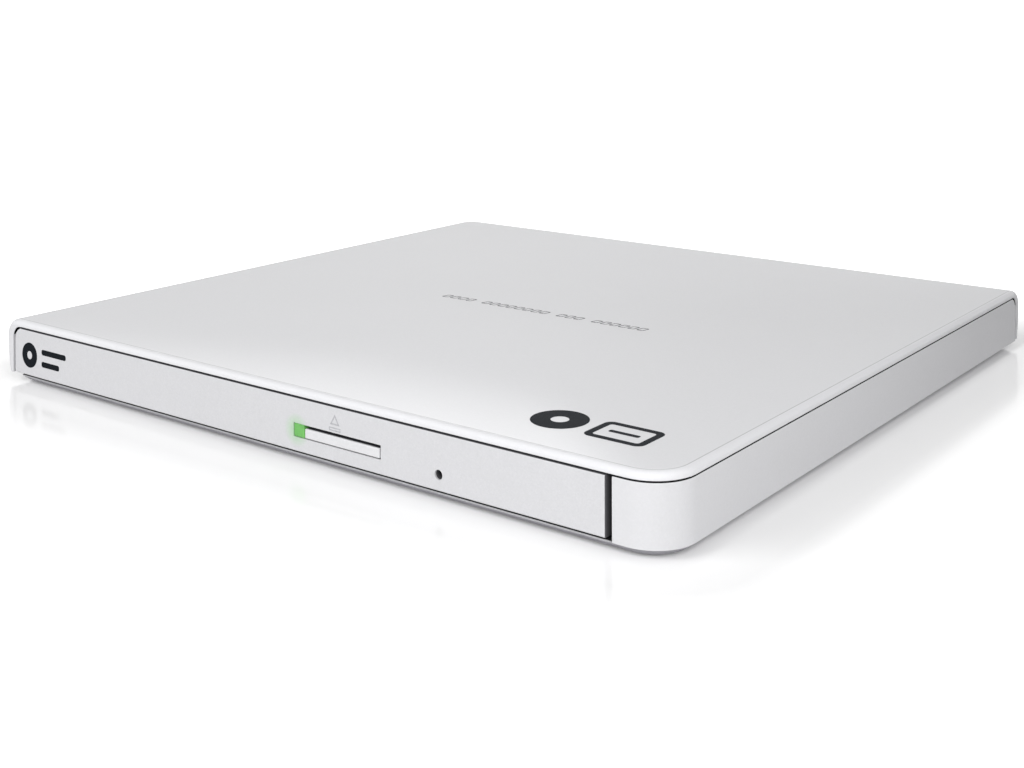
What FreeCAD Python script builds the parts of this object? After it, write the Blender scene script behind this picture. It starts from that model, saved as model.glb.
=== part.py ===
import FreeCAD, Part
import math
import os
import Sketcher
from FreeCAD import Placement, Rotation, Vector

# Slim external optical drive: folded aluminium cover over a moulded bottom
# case, with a tray-loading drive inside.  Millimetres.  Origin: centre of the
# footprint at table level; X across the front, front edge towards -Y, Z up.
doc = FreeCAD.newDocument("slim_drive")
os.makedirs("parts", exist_ok=True)

# Driving dimensions, by spreadsheet alias.
SIZES = {
    # cover and bottom case
    "case_wide": 144, "case_deep": 137.5, "cover_top": 11.3,
    "floor_top": 1.32, "lip_low": 10.15, "wall_top": 9.98,
    "wall_left": 2.25, "wall_back": 2.2, "wall_right": 1.6,
    "skirt_low": 1.5, "bend_out": 3.0, "bend_in": 2.1, "rim_round": 1.0,
    "corner_front": 6.5, "corner_back": 5,
    "case_left": -67.9, "case_slot": 63.35, "case_back": 66.0, "case_round": 1.9,
    "belly_start": 8.2, "belly_low": 1.4, "belly_rad": 29.3,
    "edge_in": 1.4, "edge_up": 1.0,
    # screw posts and feet
    "post_x": 66.3, "post_front": -52, "post_mid": -20, "post_rear": 12,
    "screw_rad": 0.95,
    "foot_tall": 0.3, "foot_long": 16, "foot_wide": 4.4, "foot_sink": 0.2,
    "foot_left": -53, "foot_right": 55, "foot_front": -57, "foot_rear": 53,
    # drawer front
    "bezel_left": -69.25, "bezel_right": 62.4, "bezel_low": 1.62,
    "bezel_top": 9.88, "bezel_deep": 3.4, "bezel_round": 2.0,
    "slot_left": 4.7, "slot_right": 22.92, "slot_low": 3.82, "slot_top": 5.97,
    "key_left": 7.15, "key_right": 22.64, "key_low": 3.93, "key_top": 5.4,
    "pin_x": 34.0, "pin_z": 3.95, "pin_rad": 0.72,
    # drive chassis
    "mid_x": -3.65, "half_base": 64.25, "sheet": 0.4, "base_low": 1.55,
    "base_front": -64.6, "base_rear": 62.0, "base_top": 9.3,
    "lid_low": 9.75, "lid_sheet": 0.3,
    "rail_low": 3.7, "rail_top": 6.9, "rail_long": 122,
    # drawer
    "half_tray": 61.65, "tray_front": -65.25, "tray_rear": 60.2,
    "tray_low": 2.95, "tray_top": 7.3, "disc_y": -4.2,
    "disc_rad": 60.4, "disc_floor": 5.62, "mini_rad": 40.6, "mini_floor": 5.35,
    "roof_low": 4.7, "pan_low": 2.45, "pan_sheet": 0.35,
    "board_low": 3.0, "board_thick": 0.6,
    # traverse unit, turned about the spindle (degrees)
    "traverse_turn": -45, "deck_low": 2.95, "deck_sheet": 0.4,
    "deck_half": 17.0, "deck_far": -65.4, "deck_near": 17.0,
    "rod_x": 14.0, "rod_z": 4.2, "rod_rad": 0.6, "screw_x": -16.4,
    "lens_y": -23.5, "hub_rad": 7.35, "table_rad": 14.5,
    "table_top": 6.35, "shaft_rad": 1.42, "run_gap": 0.05,
}
table = doc.addObject("Spreadsheet::Sheet", "P")
for row, (name, number) in enumerate(SIZES.items(), 1):
    table.set("A%d" % row, name)
    table.set("B%d" % row, str(number))
    table.setAlias("B%d" % row, name)
doc.recompute()


# ------------------------------------------------------------- bound lengths
class Length:
    """A number that keeps the spreadsheet expression it comes from."""

    def __init__(self, value, text=None):
        self.value = float(value)
        self.text = text or "(%r)" % self.value
        self.live = text is not None

    def __add__(self, other): return combine(self, "+", other)
    def __radd__(self, other): return combine(other, "+", self)
    def __sub__(self, other): return combine(self, "-", other)
    def __rsub__(self, other): return combine(other, "-", self)
    def __mul__(self, other): return combine(self, "*", other)
    def __truediv__(self, other): return combine(self, "/", other)
    def __neg__(self): return combine(self, "*", -1)


def as_length(value):
    return value if isinstance(value, Length) else Length(value)


def combine(first, sign, second):
    first, second = as_length(first), as_length(second)
    a, b = first.value, second.value
    if sign == "+":
        value = a + b
    elif sign == "-":
        value = a - b
    elif sign == "*":
        value = a * b
    else:
        value = a / b
    result = Length(value, "(%s%s%s)" % (first.text, sign, second.text))
    result.live = first.live or second.live
    return result


class Dimensions:
    def __getattr__(self, name):
        return Length(SIZES[name], "P." + name)


dim = Dimensions()


def bind(item, path, value):
    if value.live:
        item.setExpression(path, value.text)


def set_size(item, prop, value):
    value = as_length(value)
    setattr(item, prop, value.value)
    bind(item, prop, value)


# ------------------------------------------------------------- sketching
START, END, CENTRE = 1, 2, 3    # point numbers on a sketch line or arc
ORIGIN = (-1, 1)


def relate(sk, kind, *refs):
    return sk.addConstraint(Sketcher.Constraint(kind, *refs))


def measure(sk, kind, *refs, value):
    value = as_length(value)
    index = relate(sk, kind, *refs, value.value)
    bind(sk, "Constraints[%d]" % index, value)


def fix_x(sk, part, point, value):
    measure(sk, "DistanceX", *ORIGIN, part, point, value=value)


def fix_y(sk, part, point, value):
    measure(sk, "DistanceY", *ORIGIN, part, point, value=value)


def add_line(sk, a, b):
    return sk.addGeometry(Part.LineSegment(Vector(*a, 0), Vector(*b, 0)))


def add_circle(sk, x, y, radius, angles=None):
    """Circle, or the arc between two angles, fixed by centre and radius."""
    curve = Part.Circle(Vector(x.value, y.value, 0), Vector(0, 0, 1), radius.value)
    if angles:
        curve = Part.ArcOfCircle(curve, *angles)
    part = sk.addGeometry(curve)
    fix_x(sk, part, CENTRE, x)
    fix_y(sk, part, CENTRE, y)
    measure(sk, "Radius", part, value=radius)
    return part


def draw_circle(sk, x, y, radius):
    add_circle(sk, as_length(x), as_length(y), as_length(radius))


def draw_outline(sk, points):
    points = [(as_length(x), as_length(y)) for x, y in points]
    spots = [(x.value, y.value) for x, y in points]
    lines = [add_line(sk, a, b) for a, b in zip(spots, spots[1:] + spots[:1])]
    for line, following in zip(lines, lines[1:] + lines[:1]):
        relate(sk, "Coincident", line, END, following, START)
    for line, (x, y) in zip(lines, points):
        fix_x(sk, line, START, x)
        fix_y(sk, line, START, y)


def draw_rect(sk, x0, y0, x1, y1, radius=0):
    """Upright rectangle; radius is one value, or four for the corners
    low-left, low-right, top-right, top-left."""
    x0, y0, x1, y1 = [as_length(v) for v in (x0, y0, x1, y1)]
    radii = radius if isinstance(radius, list) else [radius] * 4
    corners = [(x0, y0, 1, 1), (x1, y0, -1, 1), (x1, y1, -1, -1), (x0, y1, 1, -1)]
    ends, arcs = [], []
    for n, (x, y, side_x, side_y) in enumerate(corners):
        r = as_length(radii[n])
        if r.value <= 0:
            ends.append([(x.value, y.value)] * 2)
            arcs.append(None)
            continue
        cx, cy = x + r * side_x, y + r * side_y
        begin = math.pi + n * math.pi / 2
        arc = add_circle(sk, cx, cy, r, (begin, begin + math.pi / 2))
        arcs.append(arc)
        # arcs run anticlockwise, so even corners start level with their centre
        touch = [(x.value, cy.value), (cx.value, y.value)]
        kinds = ["Horizontal", "Vertical"]
        if n % 2:
            touch.reverse()
            kinds.reverse()
        relate(sk, kinds[0], arc, CENTRE, arc, START)
        relate(sk, kinds[1], arc, CENTRE, arc, END)
        ends.append(touch)
    lines = [add_line(sk, ends[n][1], ends[(n + 1) % 4][0]) for n in range(4)]
    for n, line in enumerate(lines):
        following = arcs[(n + 1) % 4]
        if arcs[n] is not None:
            relate(sk, "Coincident", arcs[n], END, line, START)
        else:
            relate(sk, "Coincident", lines[n - 1], END, line, START)
            fix_x(sk, line, START, corners[n][0])
            fix_y(sk, line, START, corners[n][1])
        if following is not None:
            relate(sk, "Coincident", line, END, following, START)


def draw_belly(sk, edge, side):
    """Sliver outside a wall that curves gently inwards towards its lower edge;
    side is +1 where inwards is +."""
    edge, radius = as_length(edge), dim.belly_rad
    top, low = dim.belly_start, dim.belly_low
    drop = top.value - low.value
    lean = radius.value - math.sqrt(radius.value ** 2 - drop ** 2)
    sweep = math.asin(drop / radius.value)
    angles = (math.pi, math.pi + sweep) if side > 0 else (-sweep, 0)
    arc = add_circle(sk, edge + radius * side, top, radius, angles)
    outer = edge - 1.5 * side
    points = [(edge.value + side * lean, low.value), (outer.value, low.value),
              (outer.value, top.value), (edge.value, top.value)]
    floor, upright, roof = [add_line(sk, a, b) for a, b in zip(points, points[1:])]
    lower, upper = (END, START) if side > 0 else (START, END)
    relate(sk, "Coincident", arc, lower, floor, START)
    relate(sk, "Coincident", floor, END, upright, START)
    relate(sk, "Coincident", upright, END, roof, START)
    relate(sk, "Coincident", roof, END, arc, upper)
    relate(sk, "Horizontal", floor)
    relate(sk, "Vertical", upright)
    relate(sk, "Horizontal", roof)
    fix_x(sk, upright, START, outer)
    fix_y(sk, floor, START, low)
    relate(sk, "Horizontal", arc, CENTRE, arc, upper)


# Shapes handed to pad and cut: a drawing function with its arguments.
def rect(*args): return (draw_rect, *args)
def circle(*args): return (draw_circle, *args)
def outline(*points): return (draw_outline, points)
def belly(*args): return (draw_belly, *args)


def centred(x, y, half_x, half_y, radius=0):
    return rect(x - half_x, y - half_y, x + half_x, y + half_y, radius)


def circles(points, radius):
    return [circle(x, y, radius) for x, y in points]


# ------------------------------------------------------------- modelling
def sketch(body, plane, shapes, offset=0, turn=0, shift=(0, 0)):
    sk = body.newObject("Sketcher::SketchObject", "Sketch")
    base = [o for o in body.Origin.OriginFeatures if o.Role == plane + "_Plane"][0]
    sk.AttachmentSupport = [(base, "")]
    sk.MapMode = "FlatFace"
    place = [as_length(v) for v in (*shift, offset)]
    sk.AttachmentOffset = Placement(Vector(*[v.value for v in place]),
                                    Rotation(Vector(0, 0, 1), turn))
    for axis, value in zip("xyz", place):
        bind(sk, "AttachmentOffset.Base." + axis, value)
    for draw, *args in shapes:
        draw(sk, *args)
    sk.Visibility = False
    return sk


def solid(label, x=0, y=0, z=0, turn=0):
    body = doc.addObject("PartDesign::Body", label)
    body.Label = label
    body.AllowCompound = True
    place = [as_length(v) for v in (x, y, z)]
    body.Placement = Placement(Vector(*[v.value for v in place]),
                               Rotation(Vector(0, 0, 1), turn))
    for axis, value in zip("xyz", place):
        bind(body, ".Placement.Base." + axis, value)
    return body


def extrude(body, kind, profile, long):
    feature = body.newObject("PartDesign::" + kind, kind)
    feature.Profile = profile
    set_size(feature, "Length", long)
    body.Tip = feature
    return feature


def pad(body, plane, low, high, *shapes, **place):
    """Material between low and high along the axis square to the plane."""
    low, high = as_length(low), as_length(high)
    offset = -high if plane == "XZ" else low    # the XZ plane faces -Y
    return extrude(body, "Pad", sketch(body, plane, shapes, offset, **place), high - low)


def cut(body, plane, low, high, *shapes, **place):
    """Removed material between low and high along the axis square to the plane."""
    low, high = as_length(low), as_length(high)
    offset = -low if plane == "XZ" else high
    return extrude(body, "Pocket", sketch(body, plane, shapes, offset, **place), high - low)


def spin(body, *points):
    """Turned solid: profile of (radius, z) points about the body's Z axis."""
    profile = sketch(body, "XZ", [outline(*points)])
    feature = body.newObject("PartDesign::Revolution", "Turn")
    feature.Profile = profile
    feature.ReferenceAxis = (profile, ["V_Axis"])
    feature.Angle = 360
    body.Tip = feature


def pattern(body, kind, original, link, count, **settings):
    """Repeat a feature along or about the normal of its own sketch."""
    feature = body.newObject("PartDesign::" + kind, kind)
    feature.Originals = [original]
    setattr(feature, link, (original.Profile[0], ["N_Axis"]))
    for prop, value in settings.items():
        setattr(feature, prop, value)
    feature.Occurrences = count
    body.Tip = feature


def dress(body, kind, boxes, upright=False, **sizes):
    """Dress the edges lying wholly in a box (x0, x1, y0, y1, z0, z1)."""
    doc.recompute()
    base = body.Tip
    names = []
    for i, edge in enumerate(base.Shape.Edges, 1):
        b = edge.BoundBox
        if upright and b.ZLength < 0.1:
            continue
        if any(b.XMin >= x0 and b.XMax <= x1 and b.YMin >= y0 and b.YMax <= y1
               and b.ZMin >= z0 and b.ZMax <= z1 for x0, x1, y0, y1, z0, z1 in boxes):
            names.append("Edge%d" % i)
    if not names:
        raise RuntimeError("no edges to dress on " + body.Label)
    feature = body.newObject("PartDesign::" + kind, kind)
    feature.Base = (base, names)
    if "Size2" in sizes:
        feature.ChamferType = "Two distances"
    for prop, value in sizes.items():
        set_size(feature, prop, value)
    body.Tip = feature


def fillet(body, radius, *boxes, upright=False):
    dress(body, "Fillet", boxes, upright, Radius=radius)


# ------------------------------------------------------------- outer case
FAR = 400       # sketch edge well outside the part
CLEAR = 80      # reach of cuts that pass right through
ABOVE = 20      # height over everything

half_wide = dim.case_wide / 2
back = dim.case_deep / 2
front = -back
POSTS = [(dim.post_x, y) for y in (dim.post_front, dim.post_mid, dim.post_rear)]
FEET = {
    "foot_front_left": (dim.foot_left, dim.foot_front),
    "foot_front_right": (dim.foot_right, dim.foot_front),
    "foot_rear_left": (dim.foot_left, dim.foot_rear),
    "foot_rear_right": (dim.foot_right, dim.foot_rear),
}


def top_cover():
    body = solid("top_cover")
    pad(body, "XY", dim.skirt_low, dim.cover_top,
        rect(-half_wide, front, half_wide, back, [0, dim.corner_front, 0, 0]))
    # the left and rear walls draw in slightly towards the table
    cut(body, "XZ", -CLEAR, CLEAR, belly(-half_wide, 1))
    cut(body, "YZ", -CLEAR, CLEAR, belly(back, -1))
    # rear left corner, then the outer bend along the left and rear top edges
    fillet(body, dim.corner_back, (-72.1, -71, 67, 69, 1.4, 11.4), upright=True)
    fillet(body, dim.bend_out, (-72.1, -71.9, -70, 70, 11.2, 11.4),
           (-72.1, 73, 60, 69, 11.2, 11.4))
    # hollow, open at the front and right
    cut(body, "XY", 0, dim.lip_low,
        rect(-half_wide + dim.wall_left, -FAR, FAR, back - dim.wall_back,
             [0, 0, 0, dim.corner_back - dim.wall_left]))
    fillet(body, dim.bend_in, (-69.8, -69.7, -70, 70, 10.1, 10.2),
           (-71, 73, 60, 67, 10.1, 10.2))
    fillet(body, dim.rim_round, (-72.1, 66, -68.8, -68.7, 11.2, 11.4))
    # screw posts at the right, and two stiffening ribs under the top
    root = dim.lip_low + 0.1
    pad(body, "XY", 3.1, root, *circles(POSTS, 2.5))
    cut(body, "XY", 3.0, 8.2, *circles(POSTS, dim.screw_rad + dim.run_gap))
    pad(body, "XY", 9.3, root, *[rect(63.2, y, 69.2, y + 1) for y in (-40, 30)])
    # opening for the data socket in the rear wall
    cut(body, "XZ", 60, 75, rect(61.9, 3.75, 70.1, 8.35, 0.9))


def foot_outline(x, y, gap=0):
    half_foot = dim.foot_wide / 2 - gap
    return centred(x, y, dim.foot_long / 2 - gap, half_foot, half_foot - 0.02)


def bottom_case():
    body = solid("bottom_case")
    pad(body, "XY", dim.foot_tall, dim.wall_top,
        rect(dim.case_left, front, half_wide, dim.case_back,
             [1.6, dim.corner_front, 0, 3]))
    # undercut lower edge: the case stands back where it nears the table
    dress(body, "Chamfer", [(-68, 72.1, -68.8, 66.1, 0.29, 0.31)],
          Size=dim.edge_up, Size2=dim.edge_in)
    # low floor under the drive, then the channel inside the right wall
    cut(body, "XY", dim.floor_top, ABOVE, rect(-FAR, -FAR, dim.case_slot, FAR))
    cut(body, "XY", dim.floor_top, ABOVE,
        rect(40, front + dim.wall_right, half_wide - dim.wall_right, FAR,
             [0, dim.corner_front - dim.wall_right, 0, 0]))
    fillet(body, dim.case_round, (69, 72.1, 65.9, 66.1, 9.9, 10.0))
    fillet(body, 0.2, (62, 72.1, -68.8, -68.6, 9.9, 10.0),
           (71.9, 72.1, -63, 67, 9.9, 10.0), (62, 72.1, -68.8, -58, 9.9, 10.0))
    # cheek at the right of the drawer opening, strip and upright at the left
    pad(body, "XY", 1.0, 9.2, rect(dim.case_slot, -68.0, dim.case_slot + 1.3, -60))
    pad(body, "XY", 0.92, dim.floor_top, rect(-70.15, -64.9, -66.0, 66.2, [0, 0, 0, 3.0]))
    pad(body, "XY", 0.92, 8.5, rect(-69.6, -64.9, -69.0, 62.5))
    # bosses for the case screws and rests for the bridge board
    pad(body, "XY", 1.0, 3.0, *circles(POSTS, 3.0),
        rect(63.2, 22, 69.6, 23.4), rect(63.2, 54, 69.6, 55.4))
    cut(body, "XY", 0, 1.75, *circles(POSTS, 2.1))
    cut(body, "XY", 1.0, 4, *circles(POSTS, dim.screw_rad + 0.1))
    # shallow seats for the feet and a recessed field for a label
    cut(body, "XY", 0, dim.foot_tall + dim.foot_sink,
        *[foot_outline(x, y) for x, y in FEET.values()])
    cut(body, "XY", 0, dim.foot_tall + 0.12, rect(-34, -30, 34, 26, 2.0))


def feet():
    for label, (x, y) in FEET.items():
        body = solid(label, x, y)
        pad(body, "XY", 0, dim.foot_tall + dim.foot_sink, foot_outline(0, 0, gap=0.1))
        fillet(body, 0.2, (-9, 9, -9, 9, -0.01, 0.01))


def case_screws():
    body = solid("case_screws")
    pad(body, "XY", 0.85, 1.75, *circles(POSTS, 1.85))
    pad(body, "XY", 1.7, 7.4, *circles(POSTS, dim.screw_rad))
    # cross recess
    for half_x, half_y in ((1.05, 0.22), (0.22, 1.05)):
        cut(body, "XY", 0, 1.3, *[centred(x, y, half_x, half_y) for x, y in POSTS])


# ------------------------------------------------------------- drive chassis
half_base = dim.half_base
inside_base = half_base - dim.sheet


def chassis_base():
    body = solid("chassis_base", dim.mid_x)
    low, top, floor = dim.base_low, dim.base_top, dim.base_low + dim.sheet
    # folded channel, then its rear wall
    pad(body, "XZ", dim.base_front, dim.base_rear, outline(
        (-half_base, low), (half_base, low), (half_base, top), (inside_base, top),
        (inside_base, floor), (-inside_base, floor), (-inside_base, top),
        (-half_base, top)))
    pad(body, "XZ", dim.base_rear - dim.sheet, dim.base_rear,
        rect(-half_base, low, half_base, top))
    # floor openings and rear wall notches
    cut(body, "XY", 0, 2.2, rect(-44, -50, -14, 40, 4), rect(-8, -50, 22, -6, 4),
        rect(-8, 4, 22, 40, 4), rect(-56, -56, -50, 50, 2.5))
    cut(body, "XZ", 55, 70, rect(24, 4.2, 58, 12), rect(-40, 6.2, 4, 12))
    # lock pin for the drawer latch
    pad(body, "XY", low + 0.1, 4.4, circle(55.5 - dim.mid_x, -60, 1.0))
    fillet(body, 0.15, (54, 64, -62, -58, 4.39, 4.41))


def chassis_cover():
    body = solid("chassis_cover", dim.mid_x)
    inner = dim.half_base + 0.1
    outer = inner + dim.lid_sheet
    skirt, low, top = 6.2, dim.lid_low, dim.lid_low + dim.lid_sheet
    pad(body, "XZ", dim.base_front + 0.6, dim.base_rear, outline(
        (-outer, skirt), (-inner, skirt), (-inner, low), (inner, low),
        (inner, skirt), (outer, skirt), (outer, top), (-outer, top)))
    # raised round with a central hole, and a slot near each corner
    pad(body, "XY", low + 0.05, top + 0.05, circle(0, dim.disc_y, 22))
    cut(body, "XY", 9, 11, circle(0, dim.disc_y, 6))
    cut(body, "XY", 9, 11, rect(-52, 44, -30, 50, 2), rect(30, 44, 52, 50, 2),
        rect(-52, -56, -44, -50, 2), rect(44, -56, 52, -50, 2))


guide_outer = inside_base - 0.1
guide_inner = guide_outer - 0.55


def side_box(side, inner, z0, outer, z1):
    """XZ rectangle on the left (side -1) or right (side +1) of the middle."""
    left, right = (inner, outer) if side > 0 else (outer, inner)
    return rect(left * side, z0, right * side, z1)


def guide(name, side):
    body = solid(name + "_guide", dim.mid_x)
    lip, gap = 62.15, 0.08
    pad(body, "XZ", -61, 61, side_box(side, guide_inner, 2.1, guide_outer, 8.4))
    pad(body, "XZ", -60, 61,
        side_box(side, lip, 3.0, guide_outer, dim.rail_low - gap),
        side_box(side, lip, dim.rail_top + gap, guide_outer, 7.6))


def rail(name, side):
    body = solid(name + "_rail", dim.mid_x)
    low, top, start = dim.rail_low, dim.rail_top, -62.5
    finish = dim.rail_long + start
    # web, then flanges towards the tray
    lip, root, thick = 61.95, guide_inner - 0.3, 0.4
    pad(body, "XZ", start, finish,
        side_box(side, guide_inner - 0.48, low, guide_inner - 0.08, top))
    pad(body, "XZ", start, finish, side_box(side, lip, low, root, low + thick),
        side_box(side, lip, top - thick, root, top))
    cut(body, "YZ", -CLEAR, CLEAR,
        *[rect(y, 4.8, y + 12, 5.8, 0.45) for y in (-52, -10, 32)])


def slides():
    for side, name in ((-1, "left"), (1, "right")):
        guide(name, side)
        rail(name, side)


# ------------------------------------------------------------- drawer
half_tray = dim.half_tray
board_top = dim.board_low + dim.board_thick
TURN = SIZES["traverse_turn"]
# sketch placement in the frame of the traverse unit
AT_SPINDLE = {"turn": TURN, "shift": (0, dim.disc_y)}


def tray():
    body = solid("tray", dim.mid_x)
    nose, rear, roof = dim.tray_front, dim.tray_rear, dim.roof_low
    pad(body, "XY", dim.tray_low, dim.tray_top,
        rect(-half_tray, nose, half_tray, rear, [0.8, 0.8, 4, 4]))
    # side ribs that run in the rails
    pad(body, "XZ", -64.0, rear - 4.5, rect(-half_tray - 0.95, 4.2, half_tray + 0.95, 6.4))
    # seats for full-size and small discs, and finger scoops
    cut(body, "XY", dim.disc_floor, ABOVE, circle(0, dim.disc_y, dim.disc_rad))
    cut(body, "XY", dim.mini_floor, ABOVE, circle(0, dim.disc_y, dim.mini_rad))
    cut(body, "XY", dim.disc_floor, ABOVE,
        circle(44, 46, 11), circle(-44, 46, 11), circle(46, -50, 9))
    # underside cavity inside the outer walls, then the path of the lock pin
    cut(body, "XY", 0, roof,
        rect(-half_tray + 1.3, nose + 1.2, half_tray - 1.2, rear - 1.3, [1, 1, 3, 3]))
    cut(body, "XY", 0, roof, rect(57.6, -62, half_tray - 1.2, 70))
    # well of the traverse unit: (top, outline)
    for top, shape in (
            (5.15, rect(-20, -61.5, 17.5, 17.5, 1.5)),
            (5.15, rect(-17.5, -66.2, 17.5, -55, 1.0)),
            (ABOVE, rect(-17.5, -55, 17.5, 17.5, 2.5)),
            (ABOVE, rect(-10, -59.3, 10, -40, 2.0)),
            (5.9, rect(-5.5, -62.4, 5.5, -50, 1.0))):
        cut(body, "XY", 0, top, shape, **AT_SPINDLE)
    # recess behind the drawer front for key, lamp and pin slider
    key_left, key_right, key_top = 6.5, 28.5, 6.3
    cut(body, "XZ", -70, nose + 1.3, rect(key_left, 0, key_right, key_top),
        rect(36.2, 0, 39.1, 5.2))
    cut(body, "XY", 0, key_top, rect(key_left, nose, key_right, -60.4))


def tray_pan():
    body = solid("tray_pan", dim.mid_x)
    pad(body, "XY", dim.pan_low, dim.pan_low + dim.pan_sheet,
        rect(-half_tray + 0.4, dim.tray_front + 0.2, 57.7, dim.tray_rear - 0.4, [1, 1, 3, 3]))
    # openings under the pickup and the spindle, then three more
    cut(body, "XY", 0, 10, rect(-11.6, -62.0, 11.6, -14.5, 2), **AT_SPINDLE)
    cut(body, "XY", 0, 10, circle(0, dim.disc_y, 12))
    cut(body, "XY", 0, 10, rect(20, 6, 40, 34, 3), rect(-40, 20, -12, 48, 3),
        rect(44.4, 51.5, 53.7, 56, 0.5))


def tray_bezel():
    body = solid("tray_bezel")
    rear = front + dim.bezel_deep
    pad(body, "XZ", front, rear,
        rect(dim.bezel_left, dim.bezel_low, dim.bezel_right, dim.bezel_top,
             [0.6, 0.2, 0.2, dim.bezel_round]))
    fillet(body, 0.22, (-70, 63, -68.8, -68.7, 1.6, 10))
    # hollows in the rear face, the shallower wall being behind the key
    low, top, side_wall = dim.bezel_low + 1.2, dim.bezel_top - 1.4, 1.6
    cut(body, "XZ", front + 1.8, rear + 1,
        rect(dim.bezel_left + side_wall, low, 1.5, top), rect(26.2, low, 31.8, top),
        rect(36.2, low, dim.bezel_right - side_wall, top))
    cut(body, "XZ", front + 1.5, rear + 1, rect(3.4, 3.0, 24.4, 7.2))
    # slot for key and lamp, and the pinhole
    cut(body, "XZ", -CLEAR, -60,
        rect(dim.slot_left, dim.slot_low, dim.slot_right, dim.slot_top, 0.12))
    cut(body, "XZ", -CLEAR, -60, circle(dim.pin_x, dim.pin_z, dim.pin_rad))


def eject_button():
    body = solid("eject_button", dim.key_left, front, dim.key_low)
    wide, tall = dim.key_right - dim.key_left, dim.key_top - dim.key_low
    pad(body, "XZ", 0, 2.2, rect(0, 0, wide, tall, 0.15))
    fillet(body, 0.18, (-0.1, 17, -0.01, 0.01, -0.1, 2))
    # flange behind the bezel and a stem towards the switch
    pad(body, "XZ", 1.75, 2.2, rect(1.0, -0.6, wide - 1.0, tall + 0.5))
    pad(body, "XZ", 2.1, 3.9, rect(6.6, 0.2, 9.0, tall - 0.1))


def light_pipe():
    gap = 0.08
    body = solid("light_pipe", dim.slot_left + gap, front, dim.slot_low + gap)
    wide = dim.key_left - dim.slot_left - 0.23
    tall = dim.slot_top - dim.slot_low - 2 * gap
    pad(body, "XZ", 0.05, 2.6, rect(0, 0, wide, tall, 0.12))
    fillet(body, 0.12, (-0.1, 3, 0.04, 0.06, -0.1, 3))
    pad(body, "XZ", 2.5, 3.3, rect(0.3, 0.2, wide - 0.3, tall - 0.5))


def tray_board():
    body = solid("tray_board", 0, 0, dim.board_low)
    thick = dim.board_thick
    pad(body, "XY", 0, thick, outline(
        (3.5, -63.6), (27, -63.6), (27, -47), (42, -44), (50.3, -44), (50.3, 54),
        (40.5, 54), (40.5, -30), (30, -38), (3.5, -42)))
    # controller chips, then two rows of small parts
    pad(body, "XY", thick, thick + 0.75, rect(8, -58.6, 18, -48.6),
        rect(42.2, -20, 48.6, -8), rect(42.2, 8, 48.6, 14.4))
    rows = ((20.5, 2.1, -56), (42.6, 2.2, 20))      # first x, pitch, y
    pad(body, "XY", thick, thick + 0.45,
        *[rect(x + pitch * i, y, x + 1.1 + pitch * i, y + 1.8)
          for x, pitch, y in rows for i in range(3)])


def tray_connector():
    body = solid("tray_connector", 45.4, 50.6, board_top)
    pad(body, "XY", 0, 1.0, centred(0, 0, 4.4, 2.0))
    cut(body, "XZ", 0.6, 5, rect(-3.8, 0.3, 3.8, 0.7))


def status_led():
    body = solid("status_led", 5.9, -62.6, board_top)
    pad(body, "XY", 0, 0.5, centred(0, 0, 0.8, 0.8))
    pad(body, "XY", 0.3, 1.1, rect(-0.6, -0.95, 0.6, 0.4, 0.2))


def button_switch():
    body = solid("button_switch", 15.0, -62.0, board_top)
    pad(body, "XY", 0, 1.7, rect(-2.3, -1.3, 2.3, 1.5))
    pad(body, "XZ", -2.2, -1.2, rect(-0.8, 0.3, 0.8, 1.3, 0.2))
    fillet(body, 0.2, (-2.4, 2.4, -1.4, 1.6, 1.69, 1.71))


# Latch: lever on a pivot pin, solenoid with plunger, slider behind the pinhole.
PIVOT = (52.5, -46.5)
PIVOT_RAD = 0.7
SOLENOID_Y = -55
BORE_UP = 0.8           # solenoid axis above the board's underside
PLUNGER_RAD = 0.5


def latch_pivot():
    body = solid("latch_pivot", *PIVOT, dim.board_low - 0.1)
    pad(body, "XY", 0, 1.78, circle(0, 0, PIVOT_RAD))
    pad(body, "XY", 1.1, 1.4, circle(0, 0, 1.3))


def latch_lever():
    # drawn back by its turn, so the drawer is free to slide past the lock pin
    body = solid("latch_lever", *PIVOT, 3.1, turn=-12)
    pad(body, "XY", 0, 0.8, outline(
        (-1.5, 1.2), (1.3, 1.5), (1.6, -1.0), (1.5, -10.2), (3.9, -10.4),
        (3.9, -12.0), (1.7, -12.0), (-0.2, -10.6), (-1.4, -8.6)))
    cut(body, "XY", -1, 2, circle(0, 0, PIVOT_RAD + dim.run_gap))
    fillet(body, 0.5, (3.8, 4.0, -12.1, -10, -0.1, 0.9), upright=True)


def latch_solenoid():
    body = solid("latch_solenoid", 39.5, SOLENOID_Y, dim.board_low)
    pad(body, "YZ", -4.6, 4.6, rect(-2.2, 0, 2.2, 1.65, 0.3))
    # narrower coil between the end flanges, then the bore
    cut(body, "YZ", -3.6, 3.6, rect(-2.6, -1, -1.6, 3), rect(1.6, -1, 2.6, 3),
        rect(-3, 1.5, 3, 3))
    cut(body, "YZ", -3.4, 6, circle(0, BORE_UP, PLUNGER_RAD + dim.run_gap))


def solenoid_plunger():
    body = solid("solenoid_plunger", 42.32, SOLENOID_Y, dim.board_low + BORE_UP)
    pad(body, "YZ", -5.4, 5.6, circle(0, 0, PLUNGER_RAD))
    pad(body, "YZ", 5.5, 6.4, circle(0, 0, 0.75))


def emergency_slider():
    lift = 0.1
    body = solid("emergency_slider", dim.pin_x, -63.2, dim.board_low + lift)
    pad(body, "XY", 0, 1.5, rect(-1.2, -1.4, 1.2, 3.6, 0.4))
    cut(body, "XZ", -2, -0.9, circle(0, dim.pin_z - dim.board_low - lift, 0.45))


# ------------------------------------------------------------- traverse unit
# Own frame: spindle at the origin, rods along Y, -Y towards the front left.
deck_top = dim.deck_low + dim.deck_sheet
RODS = [(-dim.rod_x, dim.rod_z), (dim.rod_x, dim.rod_z)]


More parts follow.
